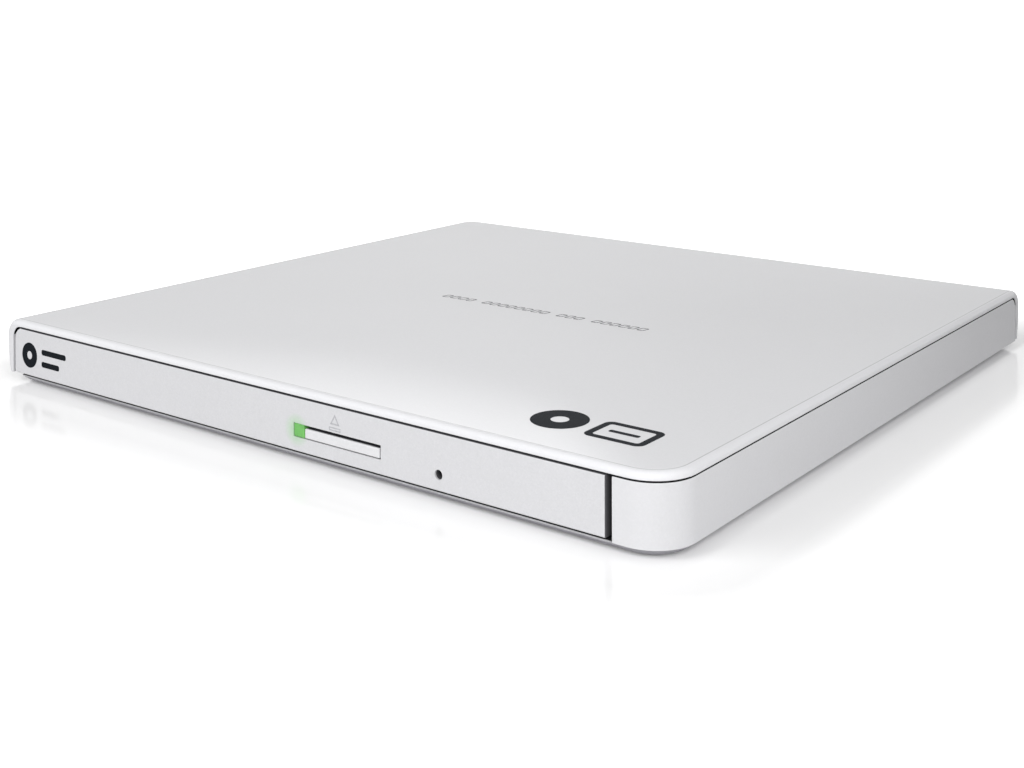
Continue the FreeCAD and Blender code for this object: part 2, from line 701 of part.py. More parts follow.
def traverse_solid(label, z=0, turn=0):
    return solid(label, dim.mid_x, dim.disc_y, z, TURN + turn)


def deck_plate():
    body = traverse_solid("deck_plate", dim.deck_low)
    half, left = dim.deck_half, -19.4
    pad(body, "XY", 0, dim.deck_sheet, rect(left, -61, half, dim.deck_near, 1.2))
    pad(body, "XY", 0, dim.deck_sheet, rect(-half, dim.deck_far, half, -60, 0.8))
    # openings under the pickup and the sled motor
    cut(body, "XY", -1, 1, rect(-11.4, -63.8, 11.4, -14.2, 1.5),
        rect(-19.0, -13.2, -14.9, -2.0, 0.4))
    # upturned side flanges
    pad(body, "XY", 0.1, 1.6, rect(half - 0.4, -50, half, -18),
        rect(left, -50, left + 0.4, -18))


def traverse_cover():
    body = traverse_solid("traverse_cover", 5.2)
    pad(body, "XY", 0, 0.3, rect(-17.2, -54.7, 17.2, 17.2, 2.3))
    cut(body, "XY", -1, 1, rect(-8.6, -60, 8.6, -13, 2.0), circle(0, 0, 12.8))


def deck_dampers():
    body = traverse_solid("deck_dampers", deck_top)
    spots = [(14.4, 14.2), (-14.4, 14.2), (0, 15.2)]
    # low, high, radius: a waist between two collars
    for low, high, radius in ((0, 0.7, 1.7), (0.6, 1.3, 1.2), (1.2, 1.85, 1.7)):
        pad(body, "XY", low, high, *circles(spots, radius))


def spindle_base():
    body = traverse_solid("spindle_base", deck_top)
    pad(body, "XY", 0, 0.3, circle(0, 0, 12.2))
    pad(body, "XY", 0.2, 0.65, circle(0, 0, 3.6))
    pad(body, "XY", 0.2, 2.3, circle(0, 0, dim.shaft_rad))
    # stator: nine teeth about a ring
    tooth = pad(body, "XY", 0.75, 1.9, rect(5.0, -0.9, 9.0, 0.9), rect(8.8, -1.9, 10.2, 1.9))
    pad(body, "XY", 0.25, 1.7, circle(0, 0, 5.2), circle(0, 0, 3.2))
    pattern(body, "PolarPattern", tooth, "Axis", 9, Angle=360)


def spindle_rotor():
    body = traverse_solid("spindle_rotor")
    bore, hub = dim.shaft_rad + dim.run_gap, dim.hub_rad
    rim, top = dim.table_rad, dim.table_top
    spin(body, (bore, 4.05), (2.7, 4.05), (2.7, 5.55), (11.3, 5.55), (11.3, 4.1),
         (11.9, 4.1), (11.9, 5.75), (rim - 0.2, 5.75), (rim, 5.95), (rim, top - 0.1),
         (rim - 0.1, top), (hub, top), (hub, 7.7), (6.3, 8.35), (3.4, 8.6), (0, 8.6),
         (0, 6.1), (bore, 6.1))
    # pockets for the claws
    for k in range(3):
        cut(body, "XY", 6.9, 8.0, rect(4.4, -1.1, 9, 1.1), turn=120 * k)


def turntable_mat():
    body = traverse_solid("turntable_mat", dim.table_top)
    pad(body, "XY", 0, 0.25, circle(0, 0, dim.table_rad - 0.3), circle(0, 0, 11.0))


def hub_claws():
    for k in range(3):
        body = traverse_solid("hub_claw_%d" % (k + 1), 6.95, 120 * k)
        pad(body, "XY", 0, 0.95, rect(5.3, -1.0, dim.hub_rad + 0.35, 1.0, [0, 0.5, 0.5, 0]))
        dress(body, "Chamfer", [(dim.hub_rad.value + 0.2, 9, -1.1, 1.1, 0.94, 0.96)],
              Size=0.35)


def pickup_body():
    body = traverse_solid("pickup_body")
    y, low, top = dim.lens_y, 3.42, 5.0
    pad(body, "XY", low, top, rect(-12.8, y - 5.5, 12.8, y + 8.6, 1.0))
    pad(body, "XY", 3.0, 3.5, rect(-10.8, y - 5.2, 10.8, y + 8.2, 0.8))
    # bearings on the rods and a web joining the longer pair
    pad(body, "XY", low, top, rect(-15.3, y - 5.5, -12.0, y + 3.5, 0.4),
        rect(-15.3, y + 6.6, -12.0, y + 12.0, 0.4), rect(12.0, y - 3.5, 15.4, y + 3.5, 0.4))
    pad(body, "XY", low, top, rect(-13.0, y + 5, -11.2, y + 12, 0.4))
    cut(body, "XZ", -CLEAR, 40, *circles(RODS, dim.rod_rad + dim.run_gap))
    # lens well, relief round the spindle motor, nib facing the lead screw
    cut(body, "XY", 4.3, 9, centred(0, y, 4.7, 4.5, 0.6))
    cut(body, "XY", 0, 9, circle(0, 0, 13.3))
    pad(body, "XY", 3.9, 4.5, rect(-15.55, y - 2, -15.2, y + 1))


LENS_LOW = 4.65


def lens_holder():
    body = traverse_solid("lens_holder", LENS_LOW)
    pad(body, "XY", 0, 0.55, centred(0, dim.lens_y, 3.9, 3.2, 0.8))
    pad(body, "XY", 0.5, 0.8, circle(0, dim.lens_y, 2.7))
    cut(body, "XY", -1, 2, circle(0, dim.lens_y, 1.9))


def objective_lens():
    body = traverse_solid("objective_lens", LENS_LOW)
    pad(body, "XY", 0.3, 0.85, circle(0, dim.lens_y, 1.88))
    fillet(body, 0.3, (-3, 3, -30, -20, 0.84, 0.86))


ROD_ENDS = (-64.6, 10.0)


def guide_rods():
    for label, (x, z) in zip(("guide_rod_main", "guide_rod_sub"), RODS):
        body = traverse_solid(label)
        pad(body, "XZ", *ROD_ENDS, circle(x, z, dim.rod_rad))


def rod_clamps():
    body = traverse_solid("rod_clamps")
    for y0, y1 in ((-65.2, -63.3), (8.4, 10.4)):
        pad(body, "XY", deck_top, 5.05, *[rect(x - 1.3, y0, x + 1.3, y1) for x, z in RODS])
    cut(body, "XZ", ROD_ENDS[0] - 0.05, ROD_ENDS[1] + 0.05,
        *circles(RODS, dim.rod_rad + 0.01))


def lead_screw():
    angle = math.radians(TURN)
    body = solid("lead_screw", dim.mid_x + dim.screw_x * math.cos(angle),
                 dim.disc_y + dim.screw_x * math.sin(angle), dim.rod_z, TURN)
    pad(body, "XZ", -59.8, -11.3, circle(0, 0, 0.45))
    # thread as a row of plain ridges
    ridge = pad(body, "XZ", -58.0, -57.2, circle(0, 0, 0.6))
    pitch, count = 1.5, 29
    pattern(body, "LinearPattern", ridge, "Direction", count,
            Reversed=True, Length=pitch * (count - 1))


def sled_motor():
    body = traverse_solid("sled_motor")
    pad(body, "XZ", -10.9, -2.4, rect(-18.8, 3.05, -14.95, 5.1, 0.7))
    pad(body, "XZ", -13.0, -10.8, circle(dim.screw_x, dim.rod_z, 0.85))
    # bracket strip along the lead screw and its upright far end
    pad(body, "XY", 3.38, 3.7, rect(-18.5, -60.4, -17.7, -10.6))
    pad(body, "XZ", -60.4, -59.2, rect(-18.5, 3.4, -15.4, 5.0))
    for y0, y1 in ((-14, -11.2), (-60, -58)):
        cut(body, "XZ", y0, y1, circle(dim.screw_x, dim.rod_z, 0.5))


# ------------------------------------------------------------- bridge board, socket, flat cable
BRIDGE_X, BRIDGE_LOW, BRIDGE_THICK = 66.0, 3.05, 0.8
SOCKET = (BRIDGE_X, 58.6, BRIDGE_LOW + BRIDGE_THICK)


def bridge_board():
    body = solid("bridge_board", BRIDGE_X, 43, BRIDGE_LOW)
    pad(body, "XY", 0, BRIDGE_THICK, rect(-4.1, -22.0, 4.1, 22.6, 0.3))
    pad(body, "XY", BRIDGE_THICK, 1.6, rect(-2.9, -8, 2.9, -2.2), rect(-1.6, 3.5, 1.6, 6.7))
    pad(body, "XY", BRIDGE_THICK, 2.4, rect(-3.4, -20, 3.4, -16.5))


def usb_shell():
    body = solid("usb_shell", *SOCKET)
    pad(body, "XZ", 0, 9.2, outline(
        (-3.4, 0.1), (3.4, 0.1), (3.4, 1.5), (3.85, 2.1), (3.85, 4.1),
        (-3.85, 4.1), (-3.85, 2.1), (-3.4, 1.5)))
    cut(body, "XZ", 0.6, 20, outline(
        (-3.1, 0.4), (3.1, 0.4), (3.1, 1.62), (3.55, 2.22), (3.55, 3.8),
        (-3.55, 3.8), (-3.55, 2.22), (-3.1, 1.62)))
    # side tabs down to the board
    pad(body, "XY", 0, 1.2, rect(-4.0, 1.0, -3.35, 3.0), rect(3.35, 1.0, 4.0, 3.0))


def usb_tongue():
    body = solid("usb_tongue", *SOCKET)
    pad(body, "XZ", 0.62, 3.2, rect(-3.05, 0.45, 3.05, 3.75))
    pad(body, "XZ", 3.1, 7.6, rect(-1.75, 1.9, 1.75, 2.6, 0.15))


def base_connector():
    body = solid("base_connector", 45.4, 58.6, 1.97)
    pad(body, "XY", 0, 0.45, rect(-5.0, -0.6, 5.0, 2.8))


def flex_cable():
    """Folded ribbon: lower run on the chassis, fold at the front, upper run
    under the drawer and a riser at its rear end."""
    left, wide, thick = 41.4, 8.0, 0.08
    lower_z, upper_z, riser_top = 1.99, 2.34, 2.98
    fold_y, lower_end, upper_end = -6.0, 57.9, 52.6
    radius = (upper_z + thick - lower_z) / 2
    centre_z = (lower_z + upper_z + thick) / 2

    def roll(r):
        return Part.makeCylinder(r, wide, Vector(left, fold_y, centre_z), Vector(1, 0, 0))

    def strip(long, tall, y, z):
        return Part.makeBox(wide, long, tall, Vector(left, y, z))

    front_half = strip(2.0, 2.0, fold_y - 2.0, centre_z - 1.0)
    fold = roll(radius).cut(roll(radius - thick)).common(front_half)
    cable = doc.addObject("Part::Feature", "flex_cable")
    cable.Label = "flex_cable"
    cable.Shape = fold.fuse([
        strip(lower_end - fold_y, thick, fold_y, lower_z),
        strip(upper_end - fold_y, thick, fold_y, upper_z),
        strip(thick, riser_top - upper_z, upper_end, upper_z)]).removeSplitter()
    return cable


for build in (
        top_cover, bottom_case, feet, case_screws,
        chassis_base, chassis_cover, slides,
        tray, tray_pan, tray_bezel, eject_button, light_pipe,
        tray_board, tray_connector, status_led, button_switch,
        latch_pivot, latch_lever, latch_solenoid, solenoid_plunger, emergency_slider,
        deck_plate, traverse_cover, deck_dampers, spindle_base, spindle_rotor,
        turntable_mat, hub_claws, pickup_body, lens_holder, objective_lens,
        guide_rods, rod_clamps, lead_screw, sled_motor,
        bridge_board, usb_shell, usb_tongue, base_connector):
    build()
cable = flex_cable()

# ------------------------------------------------------------- check and export
doc.recompute()
pieces = [o for o in doc.Objects if o.TypeId == "PartDesign::Body"] + [cable]
bad = ["%s %s" % (o.Name, o.State) for o in doc.Objects
       if any(word in o.State for word in ("Invalid", "Error"))]
bad += ["%s shape" % o.Label for o in pieces
        if o.Shape.isNull() or not o.Shape.isValid() or o.Shape.Volume <= 0]
if bad:
    raise RuntimeError("; ".join(bad))
for piece in pieces:
    piece.Shape.exportStep("parts/%s.step" % piece.Label)
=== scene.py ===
import bpy
import bmesh
import math
from mathutils import Vector, Matrix


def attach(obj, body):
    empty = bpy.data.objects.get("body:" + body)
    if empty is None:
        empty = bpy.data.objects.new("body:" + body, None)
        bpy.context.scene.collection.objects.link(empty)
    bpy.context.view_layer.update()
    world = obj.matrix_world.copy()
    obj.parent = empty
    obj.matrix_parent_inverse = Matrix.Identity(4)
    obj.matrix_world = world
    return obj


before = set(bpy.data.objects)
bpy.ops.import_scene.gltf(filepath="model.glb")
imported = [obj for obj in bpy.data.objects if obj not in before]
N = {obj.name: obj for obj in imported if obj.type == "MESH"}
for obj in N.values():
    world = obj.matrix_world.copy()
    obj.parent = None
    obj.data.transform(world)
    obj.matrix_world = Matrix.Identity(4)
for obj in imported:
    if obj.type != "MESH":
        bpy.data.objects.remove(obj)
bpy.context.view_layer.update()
MM = 0.001
sc = bpy.context.scene


# ---------------------------------------------------------------- node helpers
class Mat:
    """A small builder for procedural materials in object space, lengths in metres."""

    def __init__(self, name):
        self.m = bpy.data.materials.new(name)
        self.m.use_nodes = True
        self.t = self.m.node_tree
        self.t.nodes.clear()
        self.out = self.t.nodes.new("ShaderNodeOutputMaterial")
        self.b = self.t.nodes.new("ShaderNodeBsdfPrincipled")
        self.t.links.new(self.b.outputs[0], self.out.inputs[0])
        self.co = self.t.nodes.new("ShaderNodeTexCoord").outputs["Object"]
        self.normal = None

    def n(self, kind, **inputs):
        node = self.t.nodes.new(kind)
        for k, v in inputs.items():
            key = k.replace("_", " ")
            if key in node.inputs:
                if isinstance(v, bpy.types.NodeSocket):
                    self.t.links.new(v, node.inputs[key])
                else:
                    node.inputs[key].default_value = v
            else:
                setattr(node, k, v)
        return node

    def link(self, a, b):
        self.t.links.new(a, b)

    def set(self, **kw):
        for k, v in kw.items():
            key = k.replace("_", " ")
            if isinstance(v, bpy.types.NodeSocket):
                self.t.links.new(v, self.b.inputs[key])
            else:
                self.b.inputs[key].default_value = v
        return self

    def stretch(self, x, y, z):
        node = self.n("ShaderNodeMapping")
        node.inputs["Scale"].default_value = (x, y, z)
        self.link(self.co, node.inputs["Vector"])
        return node.outputs[0]

    def noise(self, scale, detail=2.0, rough=0.5, vec=None):
        node = self.n("ShaderNodeTexNoise", Scale=scale, Detail=detail, Roughness=rough)
        self.link(vec or self.co, node.inputs["Vector"])
        return node.outputs["Fac"]

    def remap(self, fac, lo, hi, a=0.3, b=0.7):
        node = self.n("ShaderNodeMapRange")
        self.link(fac, node.inputs["Value"])
        for k, v in (("From Min", a), ("From Max", b), ("To Min", lo), ("To Max", hi)):
            node.inputs[k].default_value = v
        return node.outputs[0]

    def mix(self, fac, c1, c2):
        node = self.t.nodes.new("ShaderNodeMix")
        node.data_type = "RGBA"
        if isinstance(fac, bpy.types.NodeSocket):
            self.link(fac, node.inputs[0])
        else:
            node.inputs[0].default_value = fac
        for sock, c in ((node.inputs[6], c1), (node.inputs[7], c2)):
            if isinstance(c, bpy.types.NodeSocket):
                self.link(c, sock)
            else:
                sock.default_value = (c[0], c[1], c[2], 1)
        return node.outputs[2]

    def math(self, op, a, b=None):
        node = self.t.nodes.new("ShaderNodeMath")
        node.operation = op
        for sock, v in ((node.inputs[0], a), (node.inputs[1], b)):
            if v is None:
                continue
            if isinstance(v, bpy.types.NodeSocket):
                self.link(v, sock)
            else:
                sock.default_value = v
        return node.outputs[0]

    def bump(self, height, dist, strength=1.0):
        node = self.n("ShaderNodeBump", Strength=strength, Distance=dist)
        self.link(height, node.inputs["Height"])
        if self.normal is not None:
            self.link(self.normal, node.inputs["Normal"])
        self.normal = node.outputs[0]
        self.link(self.normal, self.b.inputs["Normal"])
        return self


    def coord(self, axis):
        sep = self.n("ShaderNodeSeparateXYZ")
        self.link(self.co, sep.inputs[0])
        return sep.outputs[axis]

    def facing(self, axis):
        geo = self.n("ShaderNodeNewGeometry")
        sep = self.n("ShaderNodeSeparateXYZ")
        self.link(geo.outputs["True Normal"], sep.inputs[0])
        return sep.outputs[axis]

    def above(self, v, edge, soft=0.00002):
        """1 where v is above the edge, with a soft step."""
        node = self.n("ShaderNodeMapRange")
        self.link(v, node.inputs["Value"])
        node.inputs["From Min"].default_value = edge - soft
        node.inputs["From Max"].default_value = edge + soft
        return node.outputs[0]

    def below(self, v, edge, soft=0.00002):
        return self.math("SUBTRACT", 1.0, self.above(v, edge, soft))

    def both(self, *vals):
        out = vals[0]
        for v in vals[1:]:
            out = self.math("MULTIPLY", out, v)
        return out

    def either(self, *vals):
        out = vals[0]
        for v in vals[1:]:
            out = self.math("MAXIMUM", out, v)
        return out


def shade(c, k):
    return tuple(min(1.0, x * k) for x in c)


def plastic(name, col, rough=0.45, grain=1400, depth=0.00002, var=0.06, spec=0.5, sss=0.0):
    m = Mat(name)
    big = m.noise(60, 3)
    fine = m.noise(grain, 3, 0.6)
    m.set(Base_Color=m.mix(m.remap(big, 0, 1), shade(col, 1 - var), shade(col, 1 + var)),
          Roughness=m.remap(fine, rough - 0.06, rough + 0.08))
    m.b.inputs["Specular IOR Level"].default_value = spec
    m.bump(fine, depth, 0.6)
    return m.m


def metal(name, col, rough=0.3, axis="y", depth=0.000006, var=0.08, metallic=1.0, lines=5000):
    """Rolled or ground metal: fine lines along one axis, soft blotches."""
    m = Mat(name)
    s = {"x": (40, lines, lines), "y": (lines, 40, lines), "z": (lines, lines, 40)}[axis]
    v = m.stretch(*s)
    fine = m.noise(1.0, 2, 0.6, v)
    blot = m.noise(90, 3, 0.55)
    m.set(Base_Color=m.mix(m.remap(blot, 0, 1), shade(col, 1 - var), shade(col, 1 + var)),
          Metallic=metallic, Roughness=m.math("ADD", m.remap(fine, rough - 0.07, rough + 0.1),
                                              m.remap(blot, -0.03, 0.05)))
    m.bump(fine, depth, 0.5)
    return m.m


def satin_shell(name, col, rough, flake, flake_scale, grain, grain_depth, gap_shade=None, metallic=0.0,
                spec=0.3, coat=0.0, coat_rough=0.05, dark=(0.006, 0.006, 0.007), low=None,
                painted_lamp_glow=None, rim=None):
    """Silver paint: fine grain, tiny bright flakes, faint cloudiness.  The gap mask paints faces beside the
    seams near-black as painted shade in the gaps; further optional masks paint a rim highlight and rim shade,
    shade on the low edge and a green lamp glow.
    """
    m = Mat(name)
    cloud = m.noise(22, 3, 0.5)
    fine = m.noise(grain, 3, 0.65)
    vor = m.n("ShaderNodeTexVoronoi", Scale=flake_scale)
    m.link(m.co, vor.inputs["Vector"])
    sep = m.n("ShaderNodeSeparateColor")
    m.link(vor.outputs["Color"], sep.inputs[0])
    spark = sep.outputs[0]
    base = m.mix(m.remap(cloud, 0, 1, 0.35, 0.65), shade(col, 0.992), shade(col, 1.008))
    base = m.mix(m.math("MULTIPLY", m.remap(spark, 0, 1, 0.55, 1.0), flake), base, shade(col, 1.15))
    base = m.mix(m.math("MULTIPLY", m.remap(spark, 1, 0, 0.0, 0.30), flake), base, shade(col, 0.88))
    r = m.math("ADD", m.remap(fine, rough - 0.03, rough + 0.04), m.math("MULTIPLY", sep.outputs[1], 0.03))
    level = spec
    if rim is not None:
        # painted light on the top rim: the rim is painted brighter as a highlight, the left and back bends
        # darker as shade, and a near-black line where the flat top meets the rim as painted shade
        line, edge, far_bend_shade = rim(m)
        base = m.mix(m.math("MULTIPLY", edge, 0.20), base, shade(col, 1.27))
        base = m.mix(m.math("MULTIPLY", far_bend_shade, 0.5), base, shade(col, 0.82))
        base = m.mix(m.math("MULTIPLY", line, 0.85), base, shade(col, 0.55))
    if gap_shade is not None:
        gap_shade_mask = gap_shade(m)
        # painted shade on the downward-facing low edge of the case
        if low is not None:
            base = m.mix(low(m), base, (col[0] * 0.60, col[1] * 0.59, col[2] * 0.63))
        # painted shade in the gaps: masked faces get the near-black colour, more roughness and no specular or
        # coat
        base = m.mix(gap_shade_mask, base, dark)
        r = m.math("ADD", r, m.math("MULTIPLY", gap_shade_mask, 0.25))
        level = m.math("MULTIPLY", m.math("SUBTRACT", 1.0, gap_shade_mask), spec)
        if coat:
            coat = m.math("MULTIPLY", m.math("SUBTRACT", 1.0, gap_shade_mask), coat)
    # painted light: a green glow from the lamp is painted onto the bezel around it, fading with distance
    if painted_lamp_glow is not None:
        sx, sz, sr = painted_lamp_glow
        dx = m.math("SUBTRACT", m.coord(0), sx)
        dz = m.math("SUBTRACT", m.coord(2), sz)
        d = m.math("SQRT", m.math("ADD", m.math("MULTIPLY", dx, dx), m.math("MULTIPLY", dz, dz)))
        near = m.math("MULTIPLY", m.remap(d, 1.0, 0.0, 0.0009, sr), 0.42)
        base = m.mix(near, base, (0.20, 0.56, 0.16))
    m.set(Base_Color=base, Metallic=metallic, Roughness=r, Specular_IOR_Level=level, Coat_Weight=coat,
          Coat_Roughness=coat_rough)
    m.bump(fine, grain_depth, 0.5)
    m.bump(sep.outputs[2], grain_depth * 0.5, 0.35)
    return m.m


def gap_shade_shell(m):
    """Painted shade: the inside of the cover and the underside of its lip are painted near-black so the seam
    under the lip reads as a dark gap; the bent front edge at the left stays bright.
    """
    x, y, z = m.coord(0), m.coord(1), m.coord(2)
    reach = m.either(m.above(y, -0.06863), m.both(m.above(x, -0.0672), m.above(y, -0.0690)))
    return m.both(m.below(z, 0.010185, 0.000004), m.above(x, -0.06970), m.below(x, 0.07188), reach,
                  m.below(y, 0.06652))


def rim_painted_light(m):
    """Masks of painted light on the top rim: a thin line where the flat top meets its rounded rim, painted dark
    as shade;
    the rim outside it, painted lighter as a highlight; and the bends at the left and the back, painted darker as
    shade."""
    x, y, z = m.coord(0), m.coord(1), m.coord(2)
    qx = m.math("MAXIMUM", m.math("SUBTRACT", x, 0.0655), 0.0)
    qy = m.math("MAXIMUM", m.math("SUBTRACT", -0.06225, y), 0.0)
    d = m.math("SQRT", m.math("ADD", m.math("MULTIPLY", qx, qx), m.math("MULTIPLY", qy, qy)))
    inner = m.above(d, 0.00535, 0.00004)
    outer = m.above(d, 0.00552, 0.00004)
    high = m.above(z, 0.0111, 0.00005)
    line = m.both(m.math("SUBTRACT", inner, outer), high)
    front = m.either(m.below(y, -0.0675), m.above(x, 0.0690))
    far_bend_shade = m.both(m.either(m.above(y, 0.0660, 0.0004), m.below(x, -0.0690, 0.0003)), m.above(z, 0.0108, 0.0002))
    return line, m.both(outer, m.above(z, 0.0103, 0.0001), m.either(front, inner)), far_bend_shade


# Painted shade: upward and inward faces of the case by the seams are painted dark so the gap under the cover's
# lip reads dark.
def gap_shade_case(m):
    x, y, z = m.coord(0), m.coord(1), m.coord(2)
    up = m.both(m.above(m.facing(2), 0.6, 0.05), m.either(m.above(z, 0.005), m.above(y, -0.06835, 0.00005)))
    inward = m.either(m.below(m.facing(0), -0.5, 0.05), m.both(m.above(m.facing(1), 0.5, 0.05),
                                                               m.below(y, 0.0655)))
    return m.both(m.either(up, inward), m.above(z, 0.0008))


def case_low_edge_shade(m):
    """Painted shade: the tucked-in, downward-facing lower edge of the case is painted darker."""
    return m.both(m.below(m.coord(2), 0.00128, 0.00003), m.below(m.facing(2), -0.2, 0.1))


# Painted shade: the bezel behind its front face, its top edge and its right end are painted dark so the gaps
# around it read dark.
def gap_shade_bezel(m):
    y, z = m.coord(1), m.coord(2)
    x = m.coord(0)
    return m.either(m.above(y, -0.06842, 0.00006), m.above(z, 0.00980, 0.00001), m.above(x, 0.06222, 0.00002))


# Painted shade: the button behind its front face and along its lower edge is painted dark as the shadow line in
# its slot.
def gap_shade_button(m):
    y, z = m.coord(1), m.coord(2)
    return m.either(m.above(y, -0.06842, 0.00006), m.below(z, 0.00399, 0.00001))


M = {}
M["shell"] = satin_shell("shell_silver", (0.653, 0.654, 0.672), 0.34, 0.12, 5200, 2600, 0.0000012, gap_shade_shell,
                         spec=0.15, coat=0.45, coat_rough=0.05, rim=rim_painted_light)
M["case"] = satin_shell("case_paint", (0.620, 0.620, 0.636), 0.38, 0.12, 4200, 2200, 0.0000012, gap_shade_case,
                        spec=0.25, dark=(0.028, 0.028, 0.030), low=case_low_edge_shade)
M["bezel"] = satin_shell("bezel_sparkle", (0.588, 0.588, 0.604), 0.40, 0.22, 4600, 3200, 0.000001, gap_shade_bezel,
                         spec=0.25, dark=(0.085, 0.085, 0.09), painted_lamp_glow=(0.0054, 0.0049, 0.0027))
M["button"] = satin_shell("button_sparkle", (0.66, 0.66, 0.675), 0.34, 0.2, 4600, 3200, 0.000001, gap_shade_button,
                          spec=0.3, dark=(0.06, 0.06, 0.065))
M["rubber"] = plastic("rubber_foot", (0.05, 0.05, 0.055), 0.75, 900, 0.00004, 0.12, 0.3)
M["screw"] = metal("screw_nickel", (0.55, 0.55, 0.57), 0.28, "z", 0.000004)
M["chassis"] = metal("chassis_sheet", (0.60, 0.61, 0.62), 0.34, "y", 0.000008, 0.07)
M["rail"] = metal("rail_sheet", (0.66, 0.67, 0.68), 0.24, "y", 0.000004, 0.05)
M["guide"] = plastic("guide_acetal", (0.80, 0.80, 0.77), 0.4, 1200, 0.00001, 0.04)
M["tray"] = plastic("tray_mould", (0.035, 0.036, 0.04), 0.5, 2400, 0.000012, 0.10)
M["pan"] = metal("pan_sheet", (0.58, 0.59, 0.60), 0.36, "x", 0.000008, 0.08)
M["connector"] = plastic("connector_body", (0.78, 0.74, 0.64), 0.45, 1800, 0.00001, 0.05)
M["black"] = plastic("switch_black", (0.03, 0.03, 0.032), 0.38, 1800, 0.00001, 0.1)
M["brass"] = metal("brass_pin", (0.72, 0.55, 0.28), 0.25, "z", 0.000004)
M["coil"] = metal("coil_wire", (0.55, 0.24, 0.10), 0.35, "y", 0.00002, 0.12, 0.8, 9000)
M["lever"] = metal("lever_stamped", (0.58, 0.59, 0.60), 0.33, "x", 0.000006)
M["white"] = plastic("acetal_white", (0.82, 0.82, 0.80), 0.4, 1500, 0.00001, 0.04)
M["deck"] = metal("deck_stamped", (0.55, 0.56, 0.57), 0.38, "x", 0.00001, 0.08)
M["trim"] = satin_shell("trim_blasted", (0.40, 0.41, 0.43), 0.42, 0.3, 4500, 2600, 0.00001, metallic=0.9,
                        spec=0.5)
M["damper"] = plastic("damper_rubber", (0.07, 0.07, 0.09), 0.7, 900, 0.00003, 0.1, 0.3)
M["stator"] = metal("stator_stack", (0.40, 0.26, 0.18), 0.42, "x", 0.00002, 0.2, 0.8, 9000)
M["mat"] = plastic("turntable_mat", (0.045, 0.045, 0.05), 0.68, 1600, 0.00002, 0.1, 0.3)
M["claw"] = plastic("claw_acetal", (0.06, 0.06, 0.07), 0.35, 1800, 0.00001, 0.08)
M["zinc"] = metal("pickup_casting", (0.50, 0.50, 0.51), 0.48, "z", 0.00002, 0.12, 0.9, 900)
M["holder"] = plastic("holder_black", (0.02, 0.02, 0.022), 0.35, 1800, 0.00001, 0.08)
M["chrome"] = metal("ground_rod", (0.80, 0.80, 0.82), 0.12, "x", 0.000002, 0.03)
M["motor"] = metal("motor_can", (0.58, 0.58, 0.59), 0.3, "x", 0.000006)
M["usb"] = metal("socket_shell", (0.68, 0.68, 0.68), 0.26, "y", 0.000004, 0.06)
M["turned"] = metal("rotor_turned", (0.64, 0.65, 0.66), 0.27, "z", 0.000006, 0.05)


def make_board(name):
    m = Mat(name)
    tr = m.n("ShaderNodeTexBrick", Scale=260.0)
    tr.inputs["Mortar Size"].default_value = 0.012
    m.link(m.co, tr.inputs["Vector"])
    weave = m.noise(1800, 2)
    base = m.mix(tr.outputs["Fac"], (0.012, 0.10, 0.055), (0.03, 0.20, 0.11))
    m.set(Base_Color=base, Roughness=m.remap(weave, 0.25, 0.4))
    m.bump(tr.outputs["Fac"], 0.00002, 0.6)
    return m.m


def make_film(name):
    m = Mat(name)
    v = m.stretch(1400, 1, 1)
    w = m.n("ShaderNodeTexWave", Scale=1.0)
    m.link(v, w.inputs["Vector"])
    m.set(Base_Color=m.mix(w.outputs["Fac"], (0.45, 0.22, 0.05), (0.75, 0.50, 0.20)), Roughness=0.3)
    m.bump(w.outputs["Fac"], 0.00002, 0.5)
    return m.m


def make_lamp(name):
    m = Mat(name)
    grad = m.noise(500, 1)
    m.set(Base_Color=m.mix(m.remap(grad, 0, 1), (0.12, 0.37, 0.09), (0.16, 0.46, 0.11)), Roughness=0.25)
    m.b.inputs["Emission Color"].default_value = (0.16, 0.62, 0.10, 1)
    m.b.inputs["Emission Strength"].default_value = 0.06
    m.bump(grad, 0.00001, 0.3)
    return m.m


def make_resin(name):
    m = Mat(name)
    g = m.noise(900, 2)
    m.set(Base_Color=m.mix(m.remap(g, 0, 1), (0.75, 0.78, 0.62), (0.85, 0.88, 0.74)), Roughness=0.15)
    m.b.inputs["Transmission Weight"].default_value = 0.4
    return m.m


def make_lens(name):
    m = Mat(name)
    lw = m.n("ShaderNodeLayerWeight", Blend=0.35)
    m.set(Base_Color=m.mix(lw.outputs["Facing"], (0.10, 0.12, 0.45), (0.45, 0.25, 0.60)), Roughness=0.03)
    m.b.inputs["Transmission Weight"].default_value = 0.35
    m.b.inputs["Coat Weight"].default_value = 1.0
    return m.m


def make_ink(name, col):
    m = Mat(name)
    g = m.noise(5200, 2, 0.7)
    m.set(Base_Color=m.mix(m.remap(g, 0, 1), shade(col, 0.85), shade(col, 1.15)),
          Roughness=m.remap(g, 0.5, 0.65), Specular_IOR_Level=0.06)
    m.bump(g, 0.000003, 0.5)
    return m.m


M["board"] = make_board("board_mask")
M["film"] = make_film("flex_film")
M["lamp"] = make_lamp("lamp_green")
M["resin"] = make_resin("led_resin")
M["lens"] = make_lens("lens_coated")
M["ink_dark"] = make_ink("ink_dark", (0.007, 0.009, 0.012))
M["ink_grey"] = make_ink("ink_grey", (0.08, 0.08, 0.09))
M["label"] = plastic("label_film", (0.62, 0.62, 0.63), 0.35, 1800, 0.000004, 0.02, 0.4)
M["ink_pale"] = make_ink("ink_pale", (0.42, 0.42, 0.44))

